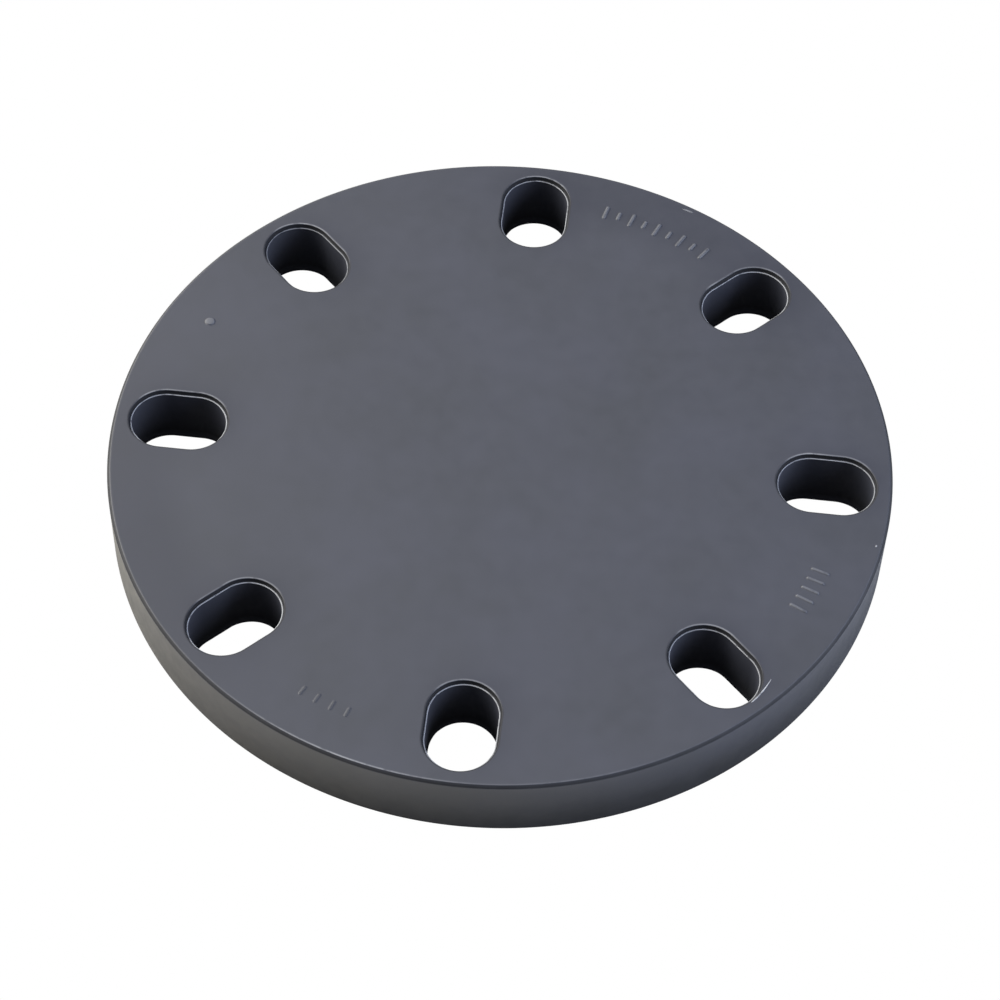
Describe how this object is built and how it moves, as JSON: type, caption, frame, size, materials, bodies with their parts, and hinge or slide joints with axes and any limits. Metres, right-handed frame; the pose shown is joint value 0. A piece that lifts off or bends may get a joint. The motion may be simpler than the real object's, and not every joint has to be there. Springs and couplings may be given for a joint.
{
  "type": "blind flange",
  "caption": "Flat round blind flange of grey PVC-U with radial bolt slots around its edge, for closing the end of a flanged pipe.",
  "frame": {"origin": "centre of the sealing face, which is the unmarked face", "axes": "+Z along the disc's axis, from the sealing face towards the marked face and away from the pipe; +X through the middle of a bolt slot"},
  "size_m": [0.22, 0.22, 0.0213],
  "materials": {
    "pvc_u": "iron-grey PVC-U, moulded, satin"
  },
  "bodies": {
    "root": {"flange_disc": "pvc_u"}
  },
  "joints": []
}
